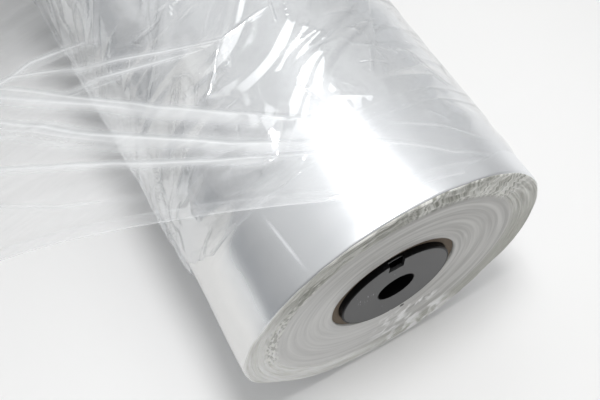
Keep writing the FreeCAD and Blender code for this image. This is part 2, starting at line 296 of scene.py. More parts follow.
def grid_piece(name: str, places: Array, chart: Array) -> Object:
    """Make a mesh grid and lay its corners at given places.

    Args:
        name: the new object's name.
        places: corners as rows, columns and x, y, z, in metres.
        chart: the film's flat coordinates at the same corners, as rows, columns and u, v.

    Returns:
        The object, with the chart as its UV map.
    """
    rows, columns, _ = places.shape
    deselect_all()
    bpy.ops.mesh.primitive_grid_add(x_subdivisions=columns - 1, y_subdivisions=rows - 1, size=1.0)
    piece = bpy.context.object
    piece.name = name
    mesh = piece.data
    mesh.name = name
    mesh.vertices.foreach_set("co", places.reshape(-1))
    corner_vertex = np.empty(len(mesh.loops), dtype=np.int32)
    mesh.loops.foreach_get("vertex_index", corner_vertex)
    flat = chart.reshape(-1, 2)[corner_vertex]
    mesh.uv_layers.active.data.foreach_set("uv", flat.reshape(-1).astype(np.float32))
    mesh.update()
    return piece


def store_values(piece: Object, name: str, values: Array) -> None:
    """Keep one number, or three, per grid point for the finish to read.

    Args:
        piece: a piece made by grid_piece.
        name: the attribute's name.
        values: the numbers, by row and column.
    """
    three = values.ndim == 3
    kept = piece.data.attributes.new(name, "FLOAT_VECTOR" if three else "FLOAT", "POINT")
    kept.data.foreach_set("vector" if three else "value", values.reshape(-1))


def dress(piece: Object, *materials: Material) -> None:
    """Put materials in a piece's slots, in order."""
    piece.data.materials.clear()
    for material in materials:
        piece.data.materials.append(material)


class Slot(Enum):
    """The record's material slot for the film, which nothing here uses."""

    FILM = "clear_film"


class Kept(Enum):
    """What the last turn keeps at each point for its finish, beside its sharp creases."""

    CREASE = "crease"
    HEM = "hem"
    CRUMPLED = "crumpled"
    ALOFT = "aloft"
    DOUBLED = "doubled"


@dataclass(frozen=True)
class RollPlaces:
    """Where the roll lies, in metres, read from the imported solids."""

    axis_height: float
    near_end: float
    far_end: float
    core_radius: float
    wound_radius: float = 101.0 * MM

    @classmethod
    def from_frame(cls) -> "RollPlaces":
        """Read the places from the frame."""
        low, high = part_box("film_roll")
        core_low, core_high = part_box("core")
        mounts = {mount["name"]: mount for mount in frame["record"]["mounts"]}
        return cls(
            axis_height=mounts["near_bore"]["pos_m"][2],
            near_end=low[1],
            far_end=high[1],
            core_radius=(core_high[0] - core_low[0]) / 2,
        )

    def round_roll(self, angle: Array, radius: Array) -> tuple[Array, Array]:
        """Give x and z of points round the roll's axis.

        Args:
            angle: degrees from +X over the top.
            radius: distance from the axis, in metres.

        Returns:
            The x and z coordinates.
        """
        turn = np.radians(angle)
        return radius * np.cos(turn), self.axis_height + radius * np.sin(turn)


# --- the last turn and the loose end ---------------------------------------------------------


@dataclass
class FilmPath:
    """The line that the last turn follows in side view: round the roll, then down to the floor.

    The loose end leaves the roll a little past its top and comes down in one long sag to a foot
    that lies flat.
    """

    places: RollPlaces
    start_angle: float = 99.0
    leave_angle: float = 460.0
    start_lift: float = 0.9 * MM
    leave_lift: float = 3.0 * MM
    reach: float = 400.0 * MM
    foot: float = 54.0 * MM
    floor_lift: float = 1.2 * MM
    # The sag: share of the way out, share of the height at which the film leaves the roll.
    sag: Pairs = ((0.20, 0.945), (0.45, 0.815), (0.66, 0.57), (0.83, 0.23))
    samples: int = 60

    def __post_init__(self) -> None:
        """Trace the line and measure along it."""
        angles = np.linspace(self.start_angle, self.leave_angle, 10 * self.samples)
        share = (angles - angles[0]) / (angles[-1] - angles[0])
        lift = self.start_lift + (self.leave_lift - self.start_lift) * share
        x, z = self.places.round_roll(angles, self.places.wound_radius + lift)
        self.roll_length = float(np.sum(np.hypot(np.diff(x), np.diff(z))))
        tail_x, tail_z = self._tail(x[-1], z[-1])
        self.x = np.concatenate([x, tail_x])
        self.z = np.concatenate([z, tail_z])
        steps = np.hypot(np.diff(self.x), np.diff(self.z))
        self.distance = np.concatenate([[0.0], np.cumsum(steps)])
        self.length = float(self.distance[-1])
        run, rise = np.gradient(self.x, self.distance), np.gradient(self.z, self.distance)
        size = np.hypot(run, rise)
        self.out_x, self.out_z = rise / size, -run / size

    def _tail(self, leave_x: float, leave_z: float) -> tuple[Array, Array]:
        """Trace the loose end as smooth curves through its few points, then its flat foot."""
        out = self.reach + leave_x
        points = np.array([(leave_x, leave_z),
                           *((leave_x - share * out, height * leave_z) for share, height in self.sag),
                           (-self.reach, self.floor_lift)])
        lean = math.radians(self.leave_angle)
        runs = points[2:] - points[:-2]
        slopes = np.array([(-math.sin(lean), math.cos(lean)),
                           *(run / math.hypot(*run) for run in runs), (-1.0, 0.0)])
        part = np.arange(1, self.samples + 1)[:, None] / self.samples
        curves = []
        for start, end, leave, arrive in zip(points, points[1:], slopes, slopes[1:]):
            span = math.hypot(*(end - start))
            curves.append((2 * part**3 - 3 * part**2 + 1) * start
                          + (part**3 - 2 * part**2 + part) * leave * span
                          + (3 * part**2 - 2 * part**3) * end + (part**3 - part**2) * arrive * span)
        foot = np.hstack([-self.reach - self.foot * part, np.full_like(part, self.floor_lift)])
        x, z = np.concatenate([*curves, foot]).T
        return x, z

    def at(self, distance: Array) -> tuple[Array, ...]:
        """Read x and z, and x and z of the outward direction, at distances along the line."""
        return tuple(np.interp(distance, self.distance, values)
                     for values in (self.x, self.z, self.out_x, self.out_z))

    def angle_at(self, distance: Array) -> Array:
        """Give the angle round the roll at distances along the line, as if it never left the roll."""
        return self.start_angle + (self.leave_angle - self.start_angle) * distance / self.roll_length

    def distance_at_angle(self, angle: float) -> float:
        """Give the distance along the line at an angle round the roll."""
        return self.roll_length * (angle - self.start_angle) / (self.leave_angle - self.start_angle)


@dataclass(frozen=True)
class Buckle:
    """One family of shallow buckles in crumpled film, bent by the family before it."""

    pitch: float
    height: float
    heading: float
    kink: float
    seed: int


@dataclass(frozen=True)
class Crease:
    """One sharp crease or taut fold along a few corners on the film's chart, in millimetres."""

    corners: Pairs
    height: float
    width: float
    milky: float
    fade: float = 0.22
    widest: Pair = (6.0, 4.0)

    def beside(self, along: Array, deep: Array) -> tuple[Array, Array]:
        """Measure each point against the crease.

        Args:
            along: distance along the film, in millimetres.
            deep: distance from the near end, in millimetres.

        Returns:
            The signed distance to the side, in widths, and how much of the crease is there, 0 to 1.
        """
        corners = np.array(self.corners, dtype=float)
        lengths = np.hypot(*np.diff(corners, axis=0).T)
        aside = np.full(along.shape, 1e6)
        share = np.zeros(along.shape)
        before = 0.0
        for start, end, length in zip(corners, corners[1:], lengths):
            unit = (end - start) / length
            part = (along - start[0]) * unit[0] + (deep - start[1]) * unit[1]
            near = np.clip(part, 0, length)
            off = np.hypot(along - start[0] - near * unit[0], deep - start[1] - near * unit[1])
            side = np.where((deep - start[1]) * unit[0] > (along - start[0]) * unit[1], off, -off)
            closer = off < np.abs(aside)
            aside = np.where(closer, side, aside)
            share = np.where(closer, (before + near) / lengths.sum(), share)
            before += length
        there = smooth_step(0.0, self.fade, share) * smooth_step(1.0, 1.0 - self.fade, share)
        aside = aside / self.width
        return aside, there * smooth_step(*self.widest, np.abs(aside))

    def apart(self, other: "Crease") -> float:
        """Give the least distance to another crease, in millimetres."""
        spots = [np.array(crease.corners) for crease in (self, other)]
        spots = [np.concatenate([np.linspace(start, end, 9) for start, end in zip(line, line[1:])])
                 for line in spots]
        gap = spots[0][:, None, :] - spots[1][None, :, :]
        return float(np.hypot(gap[..., 0], gap[..., 1]).min())


@dataclass
class LastTurn:
    """The film's last turn: crumpled round the roll, then drawn off as the gathered loose end.

    It starts under the loose end, goes down the flank, under the roll and up over the top. Its
    near edge stands back from the roll's end on the flank and comes forward over the top. Places
    in its tables are degrees round the roll, going on past 360 for its second pass over the top,
    and millimetres from the near end.
    """

    places: RollPlaces
    path: FilmPath
    near_edge: Pairs = (
        (99, 50.0), (112, 49.0), (132, 50.2), (146, 52.4), (153, 53.0), (160, 58.5), (167, 64.5),
        (178, 75.0), (190, 79.0), (205, 79.0), (250, 60.0), (300, 30.0), (402, 10.0), (420, 5.0),
        (447, 9.0), (460, 16.0),
    )
    calm_edge: Pairs = (
        (99, 40.0), (177, 62.0), (205, 70.0), (300, 38.0), (402, 14.0), (425, 28.0), (438, 58.0),
        (460, 64.0),
    )
    slackness: Pairs = (
        (99, 1.0), (200, 0.9), (300, 0.5), (385, 0.25), (400, 0.35), (415, 0.55), (430, 0.8),
        (445, 1.0), (460, 1.0),
    )
    far_margin: float = 4.0 * MM
    sweep: float = 140.0 * MM
    trail: float = 22.0 * MM
    # Grid steps, from the crumples over the roll to the plain film at the foot.
    finest: float = 1.5 * MM
    fine: float = 2.0 * MM
    middle: float = 3.0 * MM
    middling: float = 6.0 * MM
    coarse: float = 9.0 * MM
    buckles: tuple[Buckle, ...] = (
        Buckle(92, 2.0, 42, 0.0, 1),
        Buckle(57, 1.4, 66, 0.5, 2),
        Buckle(38, 1.0, 24, 0.45, 3),
        Buckle(24, 0.5, 52, 0.45, 4),
    )
    # Where crumpling comes and goes, in millimetres: inside the calm edge, from the film's start, and
    # about the line where the film leaves the roll, past which this share of it is gone.
    calm_fade: Pair = (-6.0, 22.0)
    start_fade: float = 34.0
    leave_fade: Pair = (-8.0, 45.0)
    drawn_calm: float = 0.9
    # How the buckles bend and come and go in patches: strength, and pitch in millimetres.
    bend: Pair = (0.35, 75.0)
    patches: Pair = (1.1, 55.0)
    # The loose end's ripple: height, and pitch along and across the film, in millimetres.
    ripple: Triple = (0.45, 30.0, 9.0)
    # How the near edge clings: over how many millimetres, and how far it is pressed in at an angle.
    cling: Pair = (14.0, 1.0)
    pressed_in: Pairs = ((99, 0.4), (402, 1.9), (452, 2.3))
    lowest_lift: float = -0.2 * MM
    lowest: float = 0.6 * MM
    channels: int = 6
    clear_of: float = 4.0
    # Shares across the web where the loose end's gathers turn.
    gathers: tuple[float, ...] = (
        0.0, 0.03, 0.075, 0.11, 0.16, 0.205, 0.245, 0.30, 0.335, 0.39, 0.435, 0.485,
        0.53, 0.585, 0.63, 0.69, 0.735, 0.79, 0.84, 0.895, 0.945, 1.0,
    )
    gather_height: float = 15.0 * MM
    # How the gathers grow: share of the way down, share of their height.
    gather_growth: Pairs = ((0.0, 0.0), (0.5, 0.6), (0.85, 1.0), (1.0, 0.3))
    landing: float = 30.0 * MM
    # Creases on the roll: places as degrees round it and depth, height, width, milkiness.
    roll_creases: tuple[Line, ...] = (
        (((159.6, 105), (164.7, 96), (167.5, 85), (174.3, 77)), 0.9, 2.0, 1.0),
        (((151.2, 93), (159.3, 89), (163.2, 86)), 0.7, 1.7, 0.8),
        (((147.8, 87), (152.3, 82), (151.7, 75)), 0.6, 1.7, 0.7),
        (((146.4, 65), (154, 63), (160.6, 61)), 0.9, 1.8, 1.0),
        (((140.9, 57), (144.9, 54.5), (151.5, 55.5), (157.2, 58)), 0.9, 1.8, 0.9),
        (((144, 133), (154, 117), (163.1, 107)), 0.7, 2.2, 0.8),
        (((135.1, 118), (145.5, 104), (156.9, 98)), 0.7, 2.0, 0.7),
        (((135.8, 103), (145.1, 94), (149, 90)), 0.6, 2.0, 0.8),
        (((152.4, 155), (160.5, 144), (174.4, 143)), 0.5, 2.0, 0.6),
        (((144, 72), (143.5, 64)), 0.6, 2.4, 0.1),
        (((120.1, 192), (122.9, 188), (130.5, 189), (136.8, 193)), 0.7, 3.2, 1.0),
        (((104.3, 175), (109.4, 165), (113.8, 155)), 0.6, 2.4, 1.0),
        (((102.4, 163), (111.6, 143), (120.9, 125), (126.9, 116)), 0.7, 1.5, 0.9),
        (((128.7, 172), (133, 163), (137.1, 155)), 0.4, 1.4, 0.6),
        (((161.9, 242), (155.3, 229), (148.3, 216)), 0.7, 1.6, 0.9),
        (((137.8, 189), (144.4, 180), (151.5, 175)), 0.5, 1.6, 0.5),
        (((129.9, 142), (133, 134)), 0.5, 1.4, 0.8), (((122.5, 136), (129.9, 121)), 0.4, 1.4, 0.6),
        (((131.7, 154), (124.6, 143), (122.9, 135)), 0.5, 1.8, 0.4),
        (((143.1, 210), (149.3, 207), (154.8, 195)), 0.6, 2.0, 0.6),
        (((177.9, 255), (172.7, 217), (174.7, 201)), 0.6, 2.4, 0.5),
        (((107.9, 64), (101.7, 64), (91.8, 63), (81.2, 60), (72.5, 59)), 0.6, 1.4, 0.5),
        (((101.8, 54), (95.6, 54), (89.2, 54), (78.2, 56), (67.1, 58)), 0.6, 1.4, 0.5),
        (((98, 49), (91.1, 48), (85.4, 48)), 0.5, 1.3, 0.4), (((68.3, 49), (61.8, 37)), 0.4, 1.5, 0.4),
        (((84.6, 51), (70.8, 40), (57.3, 28), (45, 20)), 0.5, 1.8, 0.6),
        (((56.6, 95), (53.8, 82), (47.8, 70), (40.1, 65)), 0.6, 1.8, 0.6),
        (((33.7, 102), (41, 77)), 0.6, 1.4, 0.2), (((62.6, 99), (60.5, 91)), 0.4, 1.3, 0.5),
        (((54.6, 97), (57, 82)), 0.4, 1.3, 0.5), (((69.2, 102), (76.3, 81)), 0.5, 2.0, 0.4),
        (((99.2, 145), (94.9, 145), (88.1, 150), (84.4, 150)), 1.0, 2.0, 0.8),
        (((99.3, 117), (91.6, 117), (83.4, 115), (77.6, 110)), 0.8, 3.0, 0.3),
        (((110.9, 96), (102.4, 90), (94.5, 88), (88.8, 84)), 0.8, 3.0, 0.3),
        (((98, 75), (90.4, 79)), 0.8, 2.4, 0.1), (((72.6, 117), (69.8, 109)), 0.9, 2.2, 0.3),
        (((109.9, 81), (115.3, 78)), 0.8, 2.4, 0.5), (((136.8, 193), (133, 183)), 0.5, 2.0, 1.0),
        (((103, 162), (125, 117)), 0.7, 1.4, 0.5), (((105.5, 122), (110, 98)), 0.9, 2.6, 0.2),
        (((106, 121), (99.5, 112)), 0.8, 2.4, 0.2), (((110, 107), (124, 90)), 0.4, 2.6, 0.5),
        (((113, 69), (123, 62)), 0.8, 2.4, 0.3), (((103, 46), (126, 55)), 0.5, 2.6, 0.3),
        (((99, 118), (88, 99)), 0.7, 2.2, 0.2), (((92, 79), (79, 66)), 0.7, 2.6, 0.2),
        (((79, 109), (60, 94)), 0.5, 2.0, 0.4), (((56, 99), (46, 62)), 0.5, 2.0, 0.4),
        (((88, 128), (80, 112)), 0.7, 2.4, 0.3), (((50, 150), (62, 120), (66, 100)), 0.7, 2.2, 0.3),
        (((72, 160), (80, 140), (84, 128)), 0.8, 2.4, 0.3), (((40, 130), (52, 112)), 0.6, 2.0, 0.4),
        (((60, 180), (74, 172), (84, 168)), 0.8, 2.4, 0.3), (((96, 212), (103, 200)), 0.4, 2.2, 0.6),
    )
    # Taut folds over the top and down the loose end: plan places, height, width, milkiness.
    taut_folds: tuple[Line, ...] = (
        (((-215, 250), (-136, 175), (-86, 126), (-16, 69), (20, 48)), 0.3, 2.3, 0.6),
        (((-225, 245), (-157, 187), (-115, 150), (-85, 120)), 0.3, 2.6, 0.5),
        (((-230, 226), (-163, 173), (-129, 138), (-62, 82), (37, 19), (90, 4)), 0.35, 2.4, 0.7),
        (((-235, 228), (-164, 168), (-137, 142), (-104, 112)), 0.3, 2.6, 0.4),
        (((-240, 186), (-174, 146), (-110, 101), (-77, 80), (-21, 49), (20, 36)), 0.3, 2.0, 0.6),
        (((-190, 206), (-148, 197), (-131, 187), (-105, 171)), 0.3, 1.5, 0.5),
        (((-190, 196), (-148, 196), (-133, 198), (-98, 189), (-84, 186)), 0.4, 2.2, 0.6),
        (((-108, 172), (-94, 168), (-68, 157), (-35, 144), (10, 150)), 0.5, 1.4, 0.8),
        (((-112, 166), (-97, 160), (-76, 153), (-44, 144)), 0.3, 1.6, 0.5),
        (((-126, 164), (-112, 159), (-90, 154)), 0.3, 1.4, 0.5),
        (((-60, 44), (-35, 27), (12, 11)), 0.3, 1.4, 0.4),
        (((-212, 148), (-182, 126), (-154, 104), (-125, 88)), 0.3, 1.6, 0.4),
        (((-190, 250), (-160, 222), (-140, 214)), 0.5, 2.6, 0.5),
        (((-178, 262), (-152, 232), (-138, 228)), 0.5, 2.6, 0.5),
    )
    # Where the loose end lies doubled and milky: plan places, half width, share.
    bands: tuple[Band, ...] = (
        (((-175, 210), (-154, 194), (-136, 175), (-114, 151), (-86, 126), (-53, 99)), 2.5, 0.3),
        (((-185, 208), (-157, 187), (-115, 150), (-98, 133), (-53, 95), (-16, 66)), 5.5, 0.46),
        (((-190, 196), (-163, 173), (-129, 138), (-104, 114), (-62, 82), (-20, 51), (37, 19)), 6.0, 0.42),
        (((-195, 188), (-164, 162), (-137, 136), (-110, 112), (-80, 90)), 4.0, 0.3),
        (((-210, 170), (-174, 146), (-145, 125), (-110, 101), (-77, 80), (-50, 62), (-21, 49)), 3.0, 0.4),
        (((-190, 206), (-148, 197), (-131, 187), (-111, 174), (-94, 168), (-68, 157), (-39, 145)), 3.0, 0.3),
        (((-185, 196), (-148, 196), (-133, 198), (-106, 192)), 3.0, 0.3),
        (((-180, 190), (-141, 194), (-116, 191), (-98, 186)), 2.0, 0.25),
        (((-150, 186), (-122, 165), (-97, 160), (-76, 153), (-48, 145)), 2.5, 0.3),
        (((-225, 150), (-182, 126), (-154, 104), (-130, 91), (-104, 74)), 3.0, 0.16),
    )
    # A scatter of short creases: how many, and the ranges of their places and sizes.
    scattered: int = 135
    seed: int = 41
    scatter_angle: Pair = (22, 198)
    scatter_depth: Pair = (70, 425)
    scatter_length: Pair = (9, 34)
    scatter_height: Pair = (0.2, 0.6)

    def on_chart(self, corners: Pairs) -> Pairs:
        """Carry plan places over the top and the loose end to the film's chart, in millimetres."""
        over = self.path.distance > self.path.distance_at_angle(372)
        x, distance = -self.path.x[over], self.path.distance[over]
        return tuple((float(np.interp(-across * MM, x, distance)) / MM, deep) for across, deep in corners)

    def turned(self, angle: float) -> float:
        """Give the distance along the film at an angle round the roll, in millimetres."""
        full = angle if angle >= self.path.start_angle else angle + 360
        return self.path.distance_at_angle(full) / MM

    def scatter(self) -> list[Crease]:
        """Draw the scatter of short creases: flatter down the flank, and slanting as the film pulls."""
        found = []
        draw = np.random.default_rng(self.seed)
        for _ in range(self.scattered):
            angle = draw.uniform(*self.scatter_angle)
            deep = draw.uniform(*self.scatter_depth)
            length = draw.uniform(*self.scatter_length)
            lean = math.radians(draw.normal(-46, 22) if angle > 96 else draw.normal(-15, 40))
            height = draw.uniform(*self.scatter_height) * (0.25 if angle > 108 else 0.8)
            start = self.turned(angle)
            end = (start + length * math.cos(lean), deep + length * math.sin(lean))
            found.append(Crease(((start, deep), end), height, draw.uniform(1.4, 2.6),
                                draw.uniform(0.35, 0.8)))
        return found

    def creases(self) -> list[Crease]:
        """List every crease on the film's chart: the named ones, then the scatter."""
        found = [Crease(tuple((self.turned(angle), deep) for angle, deep in corners), *facts)
                 for corners, *facts in self.roll_creases]
        found += [Crease(self.on_chart(corners), *facts) for corners, *facts in self.taut_folds]
        return found + self.scatter()

    def shared_out(self) -> list[list[Crease]]:
        """Share the creases out between channels, so that no point is near two of one channel."""
        channels: list[list[Crease]] = [[] for _ in range(self.channels)]
        left_out = 0
        for crease in self.creases():
            for channel in channels:
                if all(crease.apart(other) > self.clear_of * (crease.width + other.width)
                       for other in channel):
                    channel.append(crease)
                    break
            else:
                left_out += 1
        LOG.info("creases: %s in channels, %d left out", [len(one) for one in channels], left_out)
        return channels

    def web(self, distance: Array) -> tuple[Array, Array]:
        """Give the y of the film's near edge and of its far edge at distances along the path."""
        unit = self.places.wound_radius / 100
        front = eased(self.near_edge, self.path.angle_at(distance)) * unit
        x = self.path.at(distance)[0]
        leave_x = self.path.at(np.array(self.path.roll_length))[0]
        reach = np.clip((leave_x - x) / (self.path.reach + leave_x), 0, 1)
        off = distance > self.path.roll_length
        start = self.near_edge[-1][1] * unit
        front = np.where(off, start + (self.sweep - start) * np.sin(np.pi / 2 * reach), front)
        back = self.places.far_end - self.far_margin - np.where(off, self.trail * reach, 0.0)
        return self.places.near_end + front, back

    def buckled(self, along: Array, deep: Array,
                crumpled: Array) -> tuple[Array, Array]:
        """Crumple the film by its families of buckles.

        Args:
            along: distance along the film, in millimetres.
            deep: distance from the near end, in millimetres.
            crumpled: how crumpled the film is, 0 to 1.

        Returns:
            The lift, in metres, and how sharply the film is creased.
        """
        lift, crease, wave = (np.zeros_like(deep) for _ in range(3))
        for family in self.buckles:
            turn = math.radians(family.heading)
            bend, pitch = self.bend
            bent = family.kink * wave + bend * value_noise(along / pitch, deep / pitch, family.seed)
            phase = (along * math.cos(turn) + deep * math.sin(turn)) / family.pitch + bent
            sway, pitch = self.patches
            patch = np.clip(0.5 + sway * value_noise(along / pitch + 7, deep / pitch, family.seed + 20),
                            0, 1)
            wave = zigzag(phase)
            lift += family.height * patch * (wave + 0.4)
            crease += family.height * patch * smooth_step(0.8, 1.0, wave)
        return lift * (crumpled * MM), crease * (crumpled * 0.6)

    def gathered(self, distance: Array, share: Array) -> Array:
        """Give the lift of the loose end's gathers, in metres, standing on the floor at its foot."""
        foot = self.path.length - self.path.foot
        grown = eased(self.gather_growth,
                      np.clip((distance - self.path.roll_length) / (foot - self.path.roll_length), 0, 1))
        ridge = np.interp(share, self.gathers,
                          [0.5 if index % 2 else -0.5 for index in range(len(self.gathers))])
        uneven = 0.75 + 0.35 * value_noise(share * 9, share * 0, 71)
        pleats = self.gather_height * ridge * uneven * grown
        on_floor = smooth_step(foot - self.landing, foot, distance)
        return pleats + on_floor * np.maximum(0, -pleats)

    def surface(self, distance: Array,
                share: Array) -> tuple[Array, Array, dict[Kept, Array]]:
        """Give the film's outer surface.

        Args:
            distance: how far along the path, in metres, as a grid.
            share: share across the web, as a grid.

        Returns:
            The places, the flat chart, and what is kept at each point for the finish.
        """
        front, back = self.web(distance)
        y = front + share * (back - front)
        x, z, out_x, out_z = self.path.at(distance)
        angle = self.path.angle_at(distance)
        on_roll = np.minimum(angle, self.path.leave_angle)
        along, deep = distance / MM, (y - self.places.near_end) / MM

        leave = self.path.roll_length / MM
        aloft = smooth_step(leave + self.leave_fade[0], leave + self.leave_fade[1], along)
        crumpled = smooth_step(*self.calm_fade, deep - eased(self.calm_edge, on_roll))
        crumpled = crumpled * (1 - self.drawn_calm * aloft) * smooth_step(0.0, self.start_fade, along)
        crumpled = crumpled * eased(self.slackness, on_roll)
        lift, crease = self.buckled(along, deep, crumpled)
        lift += self.gathered(distance, share)
        height, length, width = self.ripple
        lift += aloft * height * MM * value_noise(along / length, deep / width, 80)
        lift = np.maximum(lift, self.lowest_lift)
        clinging = smooth_step(self.cling[0] * MM, self.cling[1] * MM, y - front)
        clinging = clinging * (angle < self.path.leave_angle - 8)
        lift -= clinging * np.interp(angle, *zip(*self.pressed_in)) * MM

        places = np.stack([x + out_x * lift, y, np.maximum(z + out_z * lift, self.lowest)], axis=-1)
        chart = np.stack([distance, y - self.places.near_end], axis=-1)
        return places, chart, {Kept.CREASE: np.clip(crease, 0, 1.5), Kept.HEM: (y - front) / MM,
                               Kept.CRUMPLED: crumpled, Kept.ALOFT: aloft}

    def crease_values(self, channel: list[Crease], along: Array, deep: Array) -> Array:
        """Give, at each point, its place beside the nearest crease of a channel.

        Args:
            channel: creases that lie well apart.
            along: distance along the film, in millimetres.
            deep: distance from the near end, in millimetres.

        Returns:
            The signed distance in widths, the crease's height there and its milkiness there.
        """
        far_off = 9.0
        values = np.zeros((*along.shape, 3))
        values[..., 0] = far_off
        for crease in channel:
            aside, there = crease.beside(along, deep)
            nearer = np.abs(aside) < np.abs(values[..., 0])
            found = np.stack([np.clip(aside, -far_off, far_off), there * crease.height,
                              there * crease.milky], axis=-1)
            values = np.where(nearer[..., None], found, values)
        return values

    def doubled(self, along: Array, deep: Array) -> Array:
        """Give how milky the doubled bands make each point of the chart."""
        milky = np.zeros_like(along)
        for corners, half_width, share in self.bands:
            aside, there = Crease(self.on_chart(corners), 1.0, half_width, share).beside(along, deep)
            milky = np.maximum(milky, share * there * np.exp(-aside ** 2))
        return milky

    def rows(self) -> Array:
        """Space rows along the path: close over the crumples, wider under the roll and at the foot."""
        flank, over = self.path.distance_at_angle(200), self.path.distance_at_angle(385)
        near, far = self.path.roll_length + 60 * MM, self.path.roll_length + 230 * MM
        spans = ((0.0, flank, self.fine), (flank, over, self.coarse), (over, near, self.finest),
                 (near, far, self.fine), (far, self.path.length, self.middling))
        return np.concatenate([np.arange(*span) for span in spans] + [[self.path.length]])

    def columns(self) -> Array:
        """Space columns across the web as shares, close together towards the near end."""
        depth = self.places.far_end - self.places.near_end
        spans = ((0.0, 200 * MM, self.finest), (200 * MM, 330 * MM, self.middle),
                 (330 * MM, depth, self.coarse))
        return np.concatenate([np.arange(*span) for span in spans] + [[depth]]) / depth

    def build(self) -> Object:
        """Make the turn and its loose end as one sheet, one layer deep, and give the piece."""
        distance, share = np.meshgrid(self.rows(), self.columns(), indexing="ij")
        places, chart, film = self.surface(distance, share)
        piece = grid_piece("last_turn", places, chart)
        along, deep = chart[..., 0] / MM, chart[..., 1] / MM
        for kept, values in film.items():
            store_values(piece, kept.value, values)
        for number, channel in enumerate(self.shared_out()):
            store_values(piece, f"creases_{number}", self.crease_values(channel, along, deep))
        store_values(piece, Kept.DOUBLED.value, self.doubled(along, deep))
        make_active(piece)
        bpy.ops.object.shade_smooth()
        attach(piece, "root")
        return piece


# --- the wound body --------------------------------------------------------------------------


